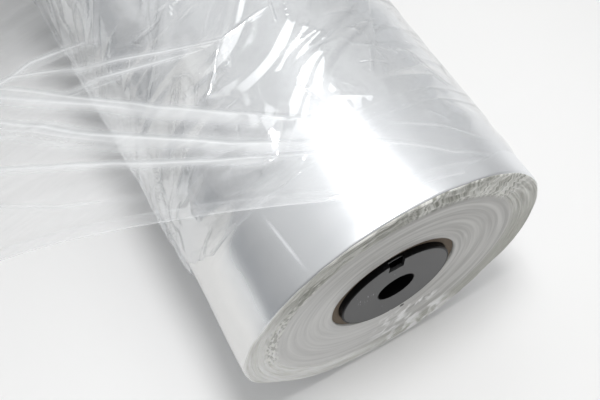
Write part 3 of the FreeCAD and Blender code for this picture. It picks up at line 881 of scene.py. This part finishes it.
@dataclass
class Winding:
    """The wound body of the film: a smooth face and the turns' edges as rings on both ends."""

    places: RollPlaces
    segments: int = 420
    tight_radius: float = 82.5 * MM
    tight_rings: int = 11
    slack_rings: int = 6
    dish: float = 3.7 * MM
    tight_relief: float = 0.13 * MM
    slack_relief: float = 0.9 * MM
    corner: float = 2.2 * MM
    corner_steps: int = 6
    bore_gap: float = 0.1 * MM
    bore_step: float = 2.0 * MM
    flare: float = 75.0 * MM
    face_steps: int = 56
    turn_pitch: float = 2.4 * MM
    pinched_in: float = 0.85
    sunk_low: float = 1.2 * MM
    sunk_under: float = 5.0 * MM
    # How far the slack outer turns stand off their circle at the ends: degrees, share of the radius.
    outline: Pairs = (
        (-180, 1.03), (-150, 1.03), (-120, 1.014), (-98, 1.0), (-62, 0.998), (-39, 0.99), (-20, 0.985),
        (0, 0.995), (15, 1.01), (30, 1.02), (45, 1.02), (60, 1.015), (74, 1.006), (90, 0.997),
        (115, 0.993), (134, 0.99), (150, 0.998), (165, 1.018), (180, 1.03),
    )

    def ring_depth(self, radius: float) -> float:
        """Give the dished end's depth inside the roll at a radius."""
        span = self.places.wound_radius - self.places.core_radius
        return self.dish * (self.places.wound_radius - radius) / span

    def end_profile(self, tight: Pairs, slack: Pairs) -> list[Pair]:
        """List (radius, depth) over one end, from the core to the corner.

        Args:
            tight: (share of a ring, share of its relief) over one tightly wound ring.
            slack: the same over one slack ring.

        Returns:
            The profile's points.
        """
        inner = self.places.core_radius + self.bore_gap
        outer = self.places.wound_radius - self.corner
        points = [(inner, self.ring_depth(inner) + self.bore_step), (inner, self.ring_depth(inner))]
        for start, end, rings, relief, shape in (
                (inner, self.tight_radius, self.tight_rings, self.tight_relief, tight),
                (self.tight_radius, outer, self.slack_rings, self.slack_relief, slack)):
            pitch = (end - start) / rings
            for ring in range(rings):
                for part, low in shape:
                    radius = start + (ring + part) * pitch
                    points.append((radius, self.ring_depth(radius) + low * relief))
        points.pop()
        for step in range(self.corner_steps + 1):
            turn = math.pi / 2 * step / self.corner_steps
            points.append((outer + self.corner * math.sin(turn), self.corner * (1 - math.cos(turn))))
        return points

    def section(self) -> list[Pair]:
        """List (radius, y) round the whole section: near end, smooth face, far end."""
        near, far = self.places.near_end, self.places.far_end
        fine = self.end_profile(((0.3, 0.1), (0.6, 0.0), (1.0, 1.0)),
                                ((0.2, 0.6), (0.4, 0.1), (0.6, 0.0), (0.8, 0.5), (1.0, 1.0)))
        plain = self.end_profile(((0.5, 0.0), (1.0, 1.0)), ((0.3, 0.4), (0.6, 0.0), (1.0, 1.0)))
        first, last = near + self.corner, far - self.corner
        return [*((radius, near + depth) for radius, depth in fine),
                *((self.places.wound_radius, first + (last - first) * step / self.face_steps)
                  for step in range(1, self.face_steps)),
                *((radius, far - depth) for radius, depth in reversed(plain))]

    def build(self, smooth: Material, edges: Material) -> Object:
        """Turn the section round the roll's axis and slacken its outer turns.

        Args:
            smooth: the finish of the smooth face.
            edges: the finish of the turns' edges, on the ends and in the bore.

        Returns:
            The finished piece.
        """
        mesh = bpy.data.meshes.new("wound_film")
        piece = bpy.data.objects.new("wound_film", mesh)
        bpy.context.collection.objects.link(piece)
        outline = bmesh.new()
        corners = [outline.verts.new((radius, y, self.places.axis_height))
                   for radius, y in self.section()]
        for start, following in zip(corners, corners[1:] + corners[:1]):
            outline.edges.new((start, following))
        outline.to_mesh(mesh)
        outline.free()
        make_active(piece)
        bpy.ops.object.mode_set(mode="EDIT")
        bpy.ops.mesh.select_all(action="SELECT")
        bpy.ops.mesh.spin(steps=self.segments, angle=2 * math.pi,
                          center=(0, 0, self.places.axis_height), axis=(0, 1, 0))
        bpy.ops.mesh.select_all(action="SELECT")
        bpy.ops.mesh.remove_doubles(threshold=0.00002)
        bpy.ops.mesh.normals_make_consistent(inside=False)
        bpy.ops.object.mode_set(mode="OBJECT")
        dress(piece, smooth, edges)
        self.mark_ends(mesh)
        self.slacken(mesh)
        bpy.ops.object.shade_smooth()
        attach(piece, "root")
        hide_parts("film_roll")
        LOG.info("wound_film: %d faces", len(mesh.polygons))
        return piece

    def slacken(self, mesh: bpy.types.Mesh) -> None:
        """Let the outer turns wander off their circles and rest the roll on its flat spot.

        At the near end they are pressed flat where the last turn pinches them over the top, torn a
        little there, and drawn in low down.
        """
        co = np.empty(len(mesh.vertices) * 3)
        mesh.vertices.foreach_get("co", co)
        co = co.reshape(-1, 3)
        x, y, z = co[:, 0], co[:, 1], co[:, 2] - self.places.axis_height
        wound = self.places.wound_radius
        radius = np.hypot(x, z)
        angle = np.degrees(np.arctan2(z, x))
        from_end = np.minimum(y - self.places.near_end, self.places.far_end - y)
        side = np.where(y < 0, -1.0, 1.0)
        around = np.radians(angle) * wound / MM
        ring = np.round(radius / self.turn_pitch)

        def between(start: float, full: float, ease: float, end: float) -> Array:
            """Ease in over the first two angles and out over the last two."""
            return smooth_step(start, full, angle) * smooth_step(end, ease, angle)

        end = smooth_step(self.flare, 0.0, from_end)
        slack = smooth_step(self.tight_radius - 2 * MM, self.tight_radius + 5 * MM, radius)
        spread = smooth_step(self.tight_radius, wound, radius)
        top, pinched = between(25, 55, 130, 165), between(38, 50, 78, 92)
        low, under = between(-165, -120, -75, -30), between(-172, -135, -60, -15)
        near_face = smooth_step(9 * MM, 3 * MM, from_end)
        ragged = near_face * slack * smooth_step(wound + 1 * MM, wound - 5 * MM, radius)
        last_turns = smooth_step(wound - 7 * MM, wound, radius)
        wide = value_noise(around / 26 + 50, ring * 1.7, 5)
        fine = value_noise(around / 6.0 + 90, ring * 1.3, 6)

        flat = self.places.near_end + self.ring_depth(radius) + 0.4 * MM
        y = np.where((from_end < 6 * MM) & (y < 0),
                     y + (flat - y) * self.pinched_in * pinched * slack * (radius < wound - self.corner), y)
        radius = radius * (1 + (eased(self.outline, angle) - 1) * end * spread)
        radius = radius + ragged * MM * (0.3 * wide + (0.15 + 0.3 * top) * fine)
        inwards = ragged * MM * (0.5 * wide + (0.2 + 0.7 * top) * fine)
        inwards = inwards - self.sunk_low * near_face * slack * low
        inwards = inwards + self.sunk_under * near_face * under * last_turns
        y = y - side * inwards
        face = smooth_step(wound - 3 * MM, wound - 1 * MM, radius)
        swell = value_noise(around / 70, y / MM / 90, 8) * 0.35
        swell = swell + value_noise(around / 25, y / MM / 160, 9) * 0.12
        radius = radius + face * swell * MM
        y = y - side * (1 - slack) * near_face * MM * 0.2 * value_noise(around / 40, ring, 11)
        co[:, 0], height = self.places.round_roll(angle, radius)
        co[:, 1], co[:, 2] = y, np.maximum(height, 0.0)
        mesh.vertices.foreach_set("co", co.reshape(-1))
        mesh.update()

    def mark_ends(self, mesh: bpy.types.Mesh) -> None:
        """Give the faces on the ends and in the bore the second finish, up to the round corner."""
        for face in mesh.polygons:
            radius = math.hypot(face.center.x, face.center.z - self.places.axis_height)
            depth = min(face.center.y - self.places.near_end, self.places.far_end - face.center.y)
            on_end = radius < self.places.wound_radius - 0.3 * self.corner or depth < 0.25 * self.corner
            face.material_index = 1 if on_end else 0


# --- finishes --------------------------------------------------------------------------------


@dataclass(frozen=True)
class WoundFaceFinish:
    """Low density polyethylene film, blown, hundreds of clear turns deep.

    Each turn returns a little light, so the stack mirrors the room softly, as pearl does. The
    turns hang slack on the flanks and look milky there. Faint lines run the way the film was drawn,
    and one turn's edge shows through as a pale line along the roll.
    """

    axis_height: float
    tone: str = "f6f8fb"
    deep_tone: str = "edf0f4"
    metallic: float = 0.88
    milky_tone: str = "f6f6f5"
    milky_metallic: float = 0.3
    milky_below: float = 136.0 * MM
    milky_above: Pair = (50.0 * MM, 100.0 * MM)
    sag: float = 30.0 * MM
    petal_pitch: float = 14.0 * MM
    petal_reach: float = 46.0 * MM
    roughness: float = 0.26
    line_pitch: float = 12.0 * MM
    seam_angle: float = 129.5
    seam_width: float = 1.8 * MM
    seam_ends: float = -178.0 * MM
    seam_lean: float = 0.1
    seam_share: float = 0.42

    def slack(self, place: Value, along: Value, height: Value) -> Value:
        """Give how slack and milky the turns hang, low on the flanks and up in long petals."""
        petals = place.stretched((7, 1 / self.petal_pitch, 7), (0.25, 0, 0)).noise(1.5, bent=0.3)
        petals = petals.ease(0.42, 0.68) * along.ease(self.seam_ends - 10 * MM, self.seam_ends + 20 * MM)
        level = height + place.noise(3.0, 14.0) * -self.sag + petals * -self.petal_reach
        low = level.ease(self.milky_below + 8 * MM, self.milky_below - 20 * MM)
        return low * height.ease(*self.milky_above)

    def seam(self, across: Value, along: Value, up: Value) -> Value:
        """Give the pale line of one turn's edge, which leans a little along the roll."""
        turn = math.radians(self.seam_angle)
        off = abs(up * -math.cos(turn) + across * math.sin(turn)
                  + (along * self.seam_lean + -self.seam_lean * self.seam_ends))
        return (off.ease(self.seam_width, 0.0, self.seam_share)
                * along.ease(self.seam_ends - 50 * MM, self.seam_ends - 28 * MM)
                * up.ease(0.0, 20 * MM) * along.ease(self.seam_ends, self.seam_ends - 20 * MM))

    def material(self) -> Material:
        """Make the material."""
        made, tree = empty_material("polyethylene_wound_face")
        place = read(tree, "ShaderNodeTexCoord", "Object")
        across, along, height = place.split()
        lines = place.stretched((18, 1 / self.line_pitch, 18)).noise(3.0)
        slack = self.slack(place, along, height)
        pearl = slack * (self.milky_metallic - self.metallic) + self.metallic
        finish_material(tree, {
            "Base Color": slack.mix(lines.mix(self.deep_tone, self.tone), self.milky_tone),
            "Metallic": pearl * self.seam(across, along, height + -self.axis_height).rest(),
            "Roughness": self.roughness, "IOR": POLYETHYLENE_IOR, "Normal": lines.bump(0.1, 0.2 * MM)})
        return made


@dataclass(frozen=True)
class TurnEdgeFinish:
    """The cut edges of hundreds of turns of polyethylene film.

    Wound tight they look like frosted wax in faint rings. The slack turns outside them are paler
    low down, where they hang apart, and pinched over the top. Light and shade are painted into the
    colour: painted light makes the edges paler towards the lower left, as if it shone through the
    slack turns; painted highlight and shade give the pinched turns short bright and dark flecks
    across them, and the torn turns dark gaps and bright bits; a small nick is painted dark as shade;
    and painted glints lie on the turns below the hub.
    """

    axis_height: float
    light: str = "cfcecb"
    dark: str = "abaaa7"
    # The slack turns' pale tones: partly their own milkiness where they hang apart, partly painted light
    # shining through them towards the lower left.
    hanging_lit: str = "ffffff"
    hanging_lit_dark: str = "e6e6e0"
    pressed: str = "d0d0c9"
    pressed_dark: str = "bbbbb4"
    # Painted highlight and painted shade: the bright and dark flecks where the pinched and torn turns catch
    # the light or lie in shade.
    fleck: str = "fcfcf7"
    gap: str = "a2a299"
    # Painted shade in the gaps where the torn turns part.
    parted_shade: str = "9c9c93"
    slack_from: float = 82.0 * MM
    ring_pitch: float = 3.4 * MM
    turn_pitch: float = 1.5 * MM
    pinch_pitch: float = 2.2 * MM
    nick: Pair = (11.5 * MM, -47.3 * MM)
    # Painted shade in a small nick in the turns.
    nicked: str = "2c2c2a"
    # Where the turns are pinched, where they hang apart with painted light shining through, where painted
    # glints lie, and where they are torn, in degrees round the roll.
    pinched_at: float = 64.0
    hanging_lit_at: float = 205.0
    painted_glints_at: float = 284.0
    torn_at: float = 160.0

    def material(self) -> Material:
        """Make the material."""
        made, tree = empty_material("polyethylene_turn_edges")
        centred, radius = read(tree, "ShaderNodeTexCoord", "Object").from_axis(self.axis_height)
        heading = centred.vectors("NORMALIZE")

        def polar(around: float, inward: float, detail: float, low: float, high: float,
                  bent: float = 0.4) -> Value:
            """Give noise with one pitch round the roll and one pitch across the turns, 0 to 1."""
            ring = heading.vectors("MULTIPLY", (0.1 / around,) * 3)
            depth = radius / inward
            slant = depth.node("ShaderNodeCombineXYZ", "Vector", {"X": depth * 0.6, "Y": depth})
            return ring.vectors("ADD", slant).noise(detail, bent=bent).ramp(low, high)

        def towards(angle: float, low: float, high: float) -> Value:
            """Ease from 0 to 1 as the place round the roll comes near an angle."""
            turn = math.radians(angle)
            facing = (math.cos(turn), 0, math.sin(turn))
            return heading.vectors("DOT_PRODUCT", facing, output="Value").ease(low, high)

        turns = polar(30 * MM, self.turn_pitch, 2.0, 0.32, 0.68)
        pinches = polar(self.pinch_pitch, 16 * MM, 1.0, 0.36, 0.66, 0.1)
        torn = polar(6 * MM, 2.4 * MM, 1.5, 0.4, 0.64, 0.5)
        # Painted glints: soft bright blotches of painted reflection on the turns below the hub.
        painted_glints = (towards(self.painted_glints_at, 0.9, 0.97) * radius.ease(50 * MM, 56 * MM)
                   * polar(14 * MM, 9 * MM, 2.5, 0.48, 0.62))
        edge = (towards(self.torn_at, 0.8, 0.93) * radius.ease(80 * MM, 84 * MM)
                * radius.ease(92 * MM, 88 * MM))
        slack = radius.ease(self.slack_from - 1 * MM, self.slack_from + 3 * MM)
        flecks = turns.node("ShaderNodeMix", 0, {
            "Factor": towards(self.pinched_at, 0.8, 0.95), 2: turns, 3: pinches})
        # Distance to the small nick, which is painted dark as shade.
        nicked = centred.vectors("DISTANCE", (self.nick[0], 0, self.nick[1]), output="Value")

        tight = polar(120 * MM, self.ring_pitch, 2.0, 0.34, 0.66).mix(self.dark, self.light)
        # Painted light: the tight rings lighten towards the lower left too, as if light shone through.
        tight = (towards(self.hanging_lit_at, -0.1, 0.8) * 0.36).mix(tight, self.hanging_lit)
        # Painted light: the slack turns grow paler towards the lower left, where they hang apart and light
        # would shine through them.
        hanging_lit = towards(self.hanging_lit_at, 0.2, 0.75).mix(
            turns.mix(self.pressed_dark, self.pressed), turns.mix(self.hanging_lit_dark, self.hanging_lit))
        # Painted highlight and painted shade: bright and dark flecks across the pinched turns over the top.
        loose = towards(self.pinched_at + 15, 0.25, 0.8).mix(hanging_lit, flecks.mix(self.gap, self.fleck))
        colour = slack.mix(tight, loose)
        # Painted shade in the gaps of the torn turns and painted highlight on their bright bits.
        for share, over in ((edge * torn.ease(0.5, 0.1, 0.6), self.parted_shade),
                            (edge * torn.ease(0.55, 0.85), self.fleck),
                            (painted_glints, self.hanging_lit), (nicked.ease(2.0 * MM, 1.2 * MM), self.nicked)):
            colour = share.mix(colour, over)
        finish_material(tree, {"Base Color": colour, "Roughness": 0.35, "IOR": POLYETHYLENE_IOR,
                               "Normal": (slack * flecks).bump(0.5, 0.5 * MM)})
        return made


@dataclass(frozen=True)
class ClearFilmFinish:
    """Clear blown polyethylene tubing, laid flat.

    Two walls mirror the room over what lies behind them: a little face on, fully at a glance, and
    more where the crumpled film lies several deep. It is milky only along its creases and hems,
    and what it scatters still goes on through it. Painted shade darkens it just beside its creases
    and where the far part of the loose end lies in several layers.
    """

    tone: str = "dfe1e3"
    face_on: float = 0.05
    crumpled_face_on: float = 0.42
    glance_face_on: float = 0.6
    haze: float = 0.04
    streaks: float = 0.12
    crease_haze: float = 0.1
    crumpled_haze: float = 0.17
    fold_haze: float = 0.6
    # Painted shade, beside the creases and where the far part of the loose end lies in layers.
    shade: str = "989c9f"
    shade_haze: float = 0.22
    hem_haze: float = 0.2
    glance_haze: float = 0.5
    layer_haze: float = 0.75
    # Where the far part of the loose end lies in several layers, and is painted darker there as shade, and
    # where it scatters less.
    layered: Pair = (280.0 * MM, 370.0 * MM)
    bunched: Pair = (260.0 * MM, 360.0 * MM)
    bunched_scatter: float = 0.7
    scatter: float = 0.85
    hidden_start: float = 34.0 * MM
    crinkle: float = 0.16
    channels: int = 6
    roughness: float = 0.12
    # The hem's weld, its width and the band inside it, in millimetres from the near edge.
    weld: Pair = (6.5, 1.5)
    weld_band: Pair = (7.5, 6.0)
    hem_width: float = 2.0
    # How fast a crease's relief, its whiteness and the shade beside it fall away, per width.
    relief_fall: float = 1.0
    white_fall: float = 3.5
    shade_fall: float = 4.0
    shade_aside: float = 0.75

    def creases(self, tree: Tree) -> tuple[Value, Value, Value]:
        """Give the creases' relief, how milky they are, and the shade just beside them."""

        def falling(off: Value, rate: float) -> Value:
            """Give 1 at no distance, falling away at a rate."""
            return (abs(off) * -rate).maths("EXPONENT")

        relief, ply, shaded = 0.0, 0.0, 0.0
        for number in range(self.channels):
            kept = read(tree, "ShaderNodeAttribute", "Vector", attribute_name=f"creases_{number}")
            aside, height, milky = kept.split()
            relief = falling(aside, self.relief_fall) * height + relief
            ply = falling(aside, self.white_fall) * milky + ply
            shaded = falling(aside + self.shade_aside, self.shade_fall) * milky + shaded
        return relief, ply, shaded

    def selvage(self, hem: Value) -> Value:
        """Give the pale edge, its weld and the band between them."""
        place, width = self.weld
        weld = abs(hem + -place).ease(width, 0.0)
        return weld * 0.5 + abs(hem).ease(self.hem_width, 0.0) + hem.ease(*self.weld_band) * 0.4

    def passing(self, tree: Tree) -> Value:
        """Give 1 to the rays that carry light on to other surfaces."""
        shadow, diffuse, glossy = (read(tree, "ShaderNodeLightPath", f"Is {kind} Ray")
                                   for kind in ("Shadow", "Diffuse", "Glossy"))
        return shadow.maths("MAXIMUM", diffuse).maths("MAXIMUM", glossy)

    def material(self) -> Material:
        """Make the material."""
        made, tree = empty_material("polyethylene_clear_tubing")
        crease, hem, crumpled, aloft, doubled = (
            read(tree, "ShaderNodeAttribute", "Fac", attribute_name=kept.value) for kept in Kept)
        chart = read(tree, "ShaderNodeUVMap", "UV")
        covered, deep, _ = chart.split()
        relief, ply, shaded = self.creases(tree)
        drawn = chart.stretched((5, 110, 1)).noise(4.0, roughness=0.6)
        layers = deep.ease(*self.layered) * aloft

        steep = read(tree, "ShaderNodeLayerWeight", "Facing", Blend=0.5).maths("POWER", 4.0)
        face_on = crumpled * (self.crumpled_face_on - self.face_on) + self.face_on
        mirror = steep * self.glance_face_on + face_on
        clouded = aloft * 0.75 + 0.25
        milky = clouded * (drawn.ramp(0.4, 0.75, self.streaks) + self.haze)
        for cause, share in ((crease, self.crease_haze), (crumpled, self.crumpled_haze),
                             (self.selvage(hem), self.hem_haze), (ply, self.fold_haze),
                             (shaded, self.shade_haze), (doubled, clouded),
                             (steep, self.glance_haze), (layers, self.layer_haze)):
            milky = cause * share + milky

        solid = (mirror.rest(clamp=True) * milky.rest(clamp=True)).rest()
        scattered = deep.ramp(*self.bunched, self.bunched_scatter, -self.scatter)
        seen = covered.ramp(0.0, self.hidden_start) * solid
        # Painted shade: the colour darkens where the loose end lies in layers and just beside the creases.
        painted_shade = (layers * drawn.ease(0.75, 0.45)).maths("ADD", shaded * 0.8, clamp=True)
        facets = chart.stretched((58, 30, 1), (0, 0, 0.8)).noise(1.0, kind="RIDGED_MULTIFRACTAL")
        finish_material(tree, {
            "Base Color": painted_shade.mix(self.tone, self.shade), "Metallic": mirror / solid,
            "Roughness": self.roughness, "IOR": POLYETHYLENE_IOR,
            "Alpha": seen.maths("MULTIPLY", self.passing(tree) * scattered + 1.0, clamp=True),
            "Normal": (facets * crumpled * self.crinkle + relief).bump(1.0, 1 * MM)})
        return made


@dataclass(frozen=True)
class KraftBoardFinish:
    """Spirally wound kraft board: brown-grey paper fibre with fine layers at the cut end."""

    tone: str = "8a7c6c"
    dark: str = "6a5d4f"
    fibres: float = 900.0

    def material(self) -> Material:
        """Make the material."""
        made, tree = empty_material("kraft_board_spiral_wound")
        fibre = read(tree, "ShaderNodeTexCoord", "Object").noise(5.0, self.fibres)
        finish_material(tree, {"Base Color": fibre.mix(self.dark, self.tone), "Roughness": 0.85,
                               "IOR": 1.5, "Normal": fibre.bump(0.3, 0.2 * MM)})
        return made


@dataclass(frozen=True)
class MouldedPlugFinish:
    """Black high impact polystyrene, injection moulded: satin, with a few pale scuffs on its face.

    The face is the plastic's dark grey; the bore and the edge round the face are painted near black, as
    shade, and shine less.
    """

    axis_height: float
    tone: str = "2c2d2f"
    # Painted shade: the near black of the bore and of the edge round the face.
    kept: str = "0a0a0b"
    scuff: str = "c4c6c8"
    scuffed: Pair = (-21.0 * MM, 5.0 * MM)
    scuffed_reach: Pair = (7.0 * MM, 3.0 * MM)
    face_from: float = 13.2 * MM
    face_to: float = 36.6 * MM
    grains: float = 1500.0
    streaks: Triple = (900, 900, 170)

    def material(self) -> Material:
        """Make the material."""
        made, tree = empty_material("polystyrene_black_moulded")
        place = read(tree, "ShaderNodeTexCoord", "Object")
        rub = place.stretched(self.streaks, (0, 0.6, 0)).noise(3.0)
        centred, radius = place.from_axis(self.axis_height)
        face = radius.maths("GREATER_THAN", self.face_from) * radius.maths("LESS_THAN", self.face_to)
        off = centred.vectors("DISTANCE", (self.scuffed[0], 0, self.scuffed[1]), output="Value")
        scuffs = off.ease(*self.scuffed_reach) * rub.ease(0.56, 0.66)
        worn = scuffs.maths("MAXIMUM", rub.ease(0.74, 0.84)).mix(self.tone, self.scuff)
        # Painted shade: near black, with less shine, off the face, in the bore and round its edge.
        finish_material(tree, {
            "Base Color": face.mix(self.kept, worn), "Roughness": 0.42, "IOR": 1.59,
            "Specular IOR Level": face * 0.42 + 0.08,
            "Normal": place.noise(2.0, self.grains).bump(0.15, 0.1 * MM)})
        return made


@dataclass
class CoreAndPlugs:
    """The board core and its two moulded plugs, which keep their solids."""

    places: RollPlaces

    def dress(self) -> None:
        """Give each its finish."""
        board = KraftBoardFinish().material()
        plastic = MouldedPlugFinish(self.places.axis_height).material()
        for node, finish in (("core", board), ("core_plug_near", plastic), ("core_plug_far", plastic)):
            dress(frame["nodes"][node], finish)
            LOG.info("%s: dressed", node)


# --- the studio ------------------------------------------------------------------------------


@dataclass(frozen=True)
class Card:
    """A card on the table out of sight of the camera, for the roll's flanks to mirror.

    Its size is its height and its length along the roll, in metres.
    """

    name: str
    place: Triple
    size: Pair
    colour: str


@dataclass(frozen=True)
class Lamp:
    """One soft rectangular lamp that faces the roll.

    The direction is from the roll to the lamp, distances and sizes are in metres, the power is in
    watts, and the spin is its turn about the line to the roll, in degrees.
    """

    name: str
    direction: Triple
    distance: float
    size: Pair
    power: float
    mirrored: bool = True
    spin: float = 0.0


@dataclass
class Studio:
    """A pale floor, a plain room, soft lamps and the camera."""

    places: RollPlaces
    lens: float = 51.53
    sensor: float = 36.0
    yaw: float = 29.933
    pitch: float = 60.629
    stand: Triple = (-153.8 * MM, -150.2 * MM, 475.8 * MM)
    table: str = "f0f0f0"
    table_size: float = 12.0
    room_tone: str = "fdfdfc"
    # The room's brightness by how nearly a direction points along its lean: (cosine, level).
    lean: Triple = (0.12, 0.43, 0.895)
    levels: Pairs = (
        (-1.0, 0.16), (-0.25, 0.18), (0.0, 0.24), (0.13, 0.31), (0.27, 0.41), (0.375, 0.48), (0.48, 0.55),
        (0.66, 0.58), (0.75, 0.62), (0.81, 0.7), (0.87, 0.78), (0.93, 0.62), (1.0, 0.55))
    cards: tuple[Card, ...] = (
        Card("grey_flag", (-0.64, 0.3, 0.1), (0.2, 2.0), "9a9c9e"),
        Card("white_bounce", (0.75, 0.6, 0.15), (0.3, 0.96), "e4e5e6"),
    )
    lamps: tuple[Lamp, ...] = (
        Lamp("fill", (-0.6, -0.35, 0.72), 1.6, (1.2, 1.2), 0.5, mirrored=False),
        Lamp("key", (-0.05, 0.02, 1.0), 0.7, (0.2, 0.2), 3.65),
        Lamp("soft_box", (0.165, 0.26, 0.95), 1.25, (0.9, 0.76), 2.75, spin=-40),
    )

    def camera(self) -> None:
        """Stand the camera above the roll's near end, looking steeply down."""
        data = bpy.data.cameras.new("camera")
        data.lens, data.sensor_width, data.sensor_fit = self.lens, self.sensor, "HORIZONTAL"
        data.clip_start = 0.02
        camera = bpy.data.objects.new("camera", data)
        bpy.context.collection.objects.link(camera)
        yaw, pitch = math.radians(self.yaw), math.radians(self.pitch)
        ahead = Vector((math.sin(yaw) * math.cos(pitch), math.cos(yaw) * math.cos(pitch),
                        -math.sin(pitch)))
        right = ahead.cross(Vector((0, 0, 1))).normalized()
        turn = Matrix((right, right.cross(ahead), -ahead)).transposed().to_4x4()
        x, y, z = self.stand
        place = Vector((x, self.places.near_end + y, self.places.axis_height + z))
        camera.matrix_world = Matrix.Translation(place) @ turn
        bpy.context.scene.camera = camera

    def plane(self, name: str, colour: str, finish: tuple[str, float, float],
              **place: object) -> Object:
        """Add one plain flat thing to the studio.

        Args:
            name: its name.
            colour: its hex colour.
            finish: the name of its material, its roughness and its specular level.
            place: its size, location and rotation, as the plane operator takes them.

        Returns:
            The plane.
        """
        deselect_all()
        bpy.ops.mesh.primitive_plane_add(**place)
        plane = bpy.context.object
        plane.name = name
        material, roughness, specular = finish
        made, tree = empty_material(material)
        finish_material(tree, {"Base Color": linear_colour(colour), "Roughness": roughness,
                               "Specular IOR Level": specular})
        dress(plane, made)
        return plane

    def floor(self) -> None:
        """Lay the white table."""
        floor = self.plane("table", self.table, ("white_laminate", 0.55, 0.2), size=self.table_size,
                           location=(0, 0, 0))

    def stand_card(self, facts: Card) -> None:
        """Stand one card up, seen and shaded by nothing but what mirrors it."""
        card = self.plane(facts.name, facts.colour, (f"card_{facts.name}", 0.9, 0.5), size=1.0,
                          location=facts.place, rotation=(0, math.pi / 2, 0))
        card.scale = (*facts.size, 1.0)
        card.visible_camera = False
        card.visible_shadow = False

    def hang_lamp(self, facts: Lamp, target: Vector) -> None:
        """Hang one lamp so that it faces a target."""
        data = bpy.data.lights.new(facts.name, "AREA")
        data.shape = "RECTANGLE"
        data.size, data.size_y = facts.size
        data.energy = facts.power
        lamp = bpy.data.objects.new(facts.name, data)
        bpy.context.collection.objects.link(lamp)
        away = Vector(facts.direction).normalized()
        lamp.location = target + away * facts.distance
        lamp.visible_glossy = facts.mirrored
        turn = away.to_track_quat("Z", "Y") @ Quaternion((0, 0, 1), math.radians(facts.spin))
        lamp.rotation_euler = turn.to_euler()

    def room(self) -> None:
        """Light the room, brighter upwards, and keep it plain where the camera looks at it."""
        world = bpy.data.worlds.new("room")
        bpy.context.scene.world = world
        world.use_nodes = True
        tree = world.node_tree
        tree.nodes.clear()
        outwards = read(tree, "ShaderNodeTexCoord", "Generated")
        lean = outwards.vectors("DOT_PRODUCT", self.lean, output="Value").ramp(-1.0, 1.0)
        level = add_node(tree, "ShaderNodeFloatCurve", {"Value": lean})
        places = [((cosine + 1) / 2, value) for cosine, value in self.levels]
        points = level.mapping.curves[0].points
        points[0].location, points[1].location = places[0], places[-1]
        for place in places[1:-1]:
            points.new(*place)
        for point in points:
            point.handle_type = "VECTOR"
        level.mapping.update()
        looked_at = read(tree, "ShaderNodeLightPath", "Is Camera Ray")
        room = add_node(tree, "ShaderNodeBackground", {
            "Color": linear_colour(self.room_tone),
            "Strength": looked_at.maths("MAXIMUM", level.outputs["Value"])})
        add_node(tree, "ShaderNodeOutputWorld", {"Surface": room.outputs["Background"]})

    def set_up(self) -> None:
        """Make the floor, the cards, the lamps, the room and the camera."""
        self.floor()
        for card in self.cards:
            self.stand_card(card)
        self.room()
        target = Vector((20 * MM, self.places.near_end + 30 * MM, 2 * self.places.axis_height))
        for lamp in self.lamps:
            self.hang_lamp(lamp, target)
        self.camera()
        bpy.context.scene.view_settings.view_transform = "Standard"


def main() -> None:
    """Build and dress the roll, then the studio."""
    places = RollPlaces.from_frame()
    face, edges = WoundFaceFinish(places.axis_height), TurnEdgeFinish(places.axis_height)
    Winding(places).build(face.material(), edges.material())
    dress(LastTurn(places, FilmPath(places)).build(), ClearFilmFinish().material())
    CoreAndPlugs(places).dress()
    Studio(places).set_up()


if __name__ == "__main__":
    main()
